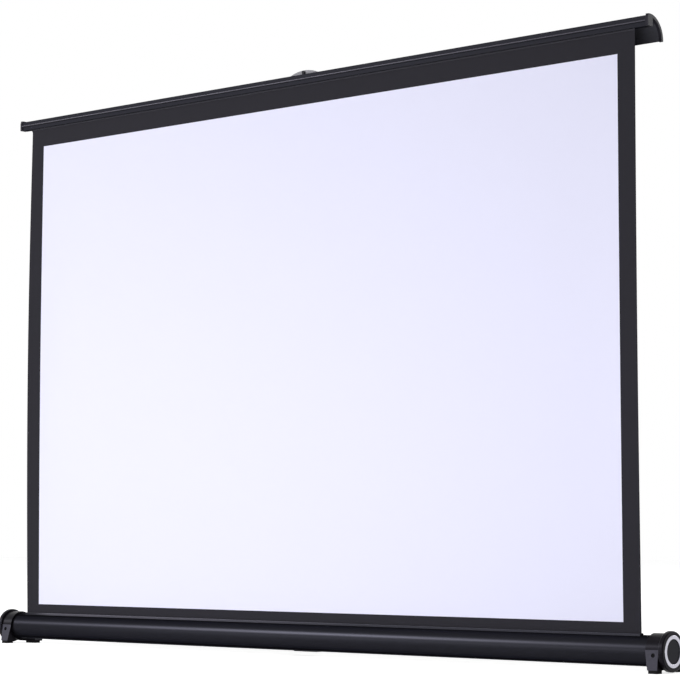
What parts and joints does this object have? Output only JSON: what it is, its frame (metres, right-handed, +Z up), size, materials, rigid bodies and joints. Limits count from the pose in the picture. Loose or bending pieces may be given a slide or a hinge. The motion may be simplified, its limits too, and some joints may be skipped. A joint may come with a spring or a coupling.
{
  "type": "projection screen",
  "caption": "Tabletop pull-up projection screen: white cloth with a black border, curved black top bar, round black spring-roller housing with bright end rings, and a folding arm behind",
  "frame": {"origin": "on the table, under the middle of the whole screen", "axes": "+X along the screen to the viewer's right, +Y away from the viewer, +Z up"},
  "size_m": [1.195, 0.074, 0.817],
  "materials": {
    "anodised_black": "black anodised, satin",
    "plastic_black": "moulded, fine satin",
    "ring_chrome": "bright plated, softly worn",
    "disc_grey": "satin",
    "rubber_black": "matte",
    "steel": "plated",
    "arm_black": "black powder coat",
    "cast_silver": "silver coat on a casting",
    "screw_black": "black oxide",
    "cloth_black": "matte coated cloth",
    "cloth_white": "matte white coating",
    "batten_plastic": "extruded rod"
  },
  "bodies": {
    "base": {"housing_tube": "anodised_black", "end_cap_left": "plastic_black", "end_cap_right": "plastic_black", "trim_ring_left": "ring_chrome", "trim_ring_right": "ring_chrome", "end_disc_left": "disc_grey", "end_disc_right": "disc_grey", "cap_screw_left": "screw_black", "cap_screw_right": "screw_black", "front_pad_left": "rubber_black", "front_pad_right": "rubber_black", "roller_bearing_left": "plastic_black", "roller_bearing_right": "plastic_black", "spring_arbor": "steel", "spring_anchor": "steel", "torsion_spring": "steel", "arm_bracket": "arm_black", "bracket_screws": "steel", "low_pivot_pin": "steel", "foot_pin_left": "steel", "foot_pin_right": "steel", "screen_fabric": "cloth_black", "viewing_surface": "cloth_white"},
    "roller": {"roller_tube": "steel", "roller_plug_left": "plastic_black", "roller_plug_right": "plastic_black", "idler_axle": "steel", "wound_cloth": "cloth_black"},
    "lower_arm": {"lower_arm": "arm_black", "elbow_pin": "steel"},
    "upper_arm": {"upper_arm": "arm_black"},
    "top_bar": {"top_bar": "anodised_black", "bar_cap_left": "plastic_black", "bar_cap_right": "plastic_black", "cloth_batten": "batten_plastic", "head_block": "cast_silver", "tab_screw": "screw_black", "block_screws": "screw_black", "top_pivot_pin": "steel"},
    "foot_left": {"swivel_foot_left": "plastic_black", "foot_pad_left": "rubber_black"},
    "foot_right": {"swivel_foot_right": "plastic_black", "foot_pad_right": "rubber_black"}
  },
  "joints": [
    {"name": "arm_fold", "type": "hinge", "parent": "base", "child": "lower_arm", "pos_m": [0, 0.0191, 0.014], "axis": [0, 1, 0], "range_deg": [0, 87.9], "deforming": ["screen_fabric", "viewing_surface"]},
    {"name": "elbow", "type": "hinge", "parent": "lower_arm", "child": "upper_arm", "pos_m": [-0.00688, 0.0158, 0.4082], "axis": [0, 1, 0], "range_deg": [-175.8, 0]},
    {"name": "top_pivot", "type": "hinge", "parent": "upper_arm", "child": "top_bar", "pos_m": [0, 0.0158, 0.8024], "axis": [0, 1, 0], "range_deg": [0, 87.9]},
    {"name": "roller_spin", "type": "hinge", "parent": "base", "child": "roller", "pos_m": [0, -0.0095, 0.026], "axis": [1, 0, 0], "range_deg": [0, 3340.2]},
    {"name": "foot_left_swivel", "type": "hinge", "parent": "base", "child": "foot_left", "pos_m": [-0.582, 0.003, 0.0047], "axis": [0, 0, 1], "range_deg": [0, 90]},
    {"name": "foot_right_swivel", "type": "hinge", "parent": "base", "child": "foot_right", "pos_m": [0.582, 0.003, 0.0047], "axis": [0, 0, 1], "range_deg": [0, 90]}
  ],
  "couplings": [
    {"joint": "elbow", "follows": "arm_fold", "ratio": -2},
    {"joint": "top_pivot", "follows": "arm_fold", "ratio": 1},
    {"joint": "roller_spin", "follows": "arm_fold", "ratio": 38}
  ]
}
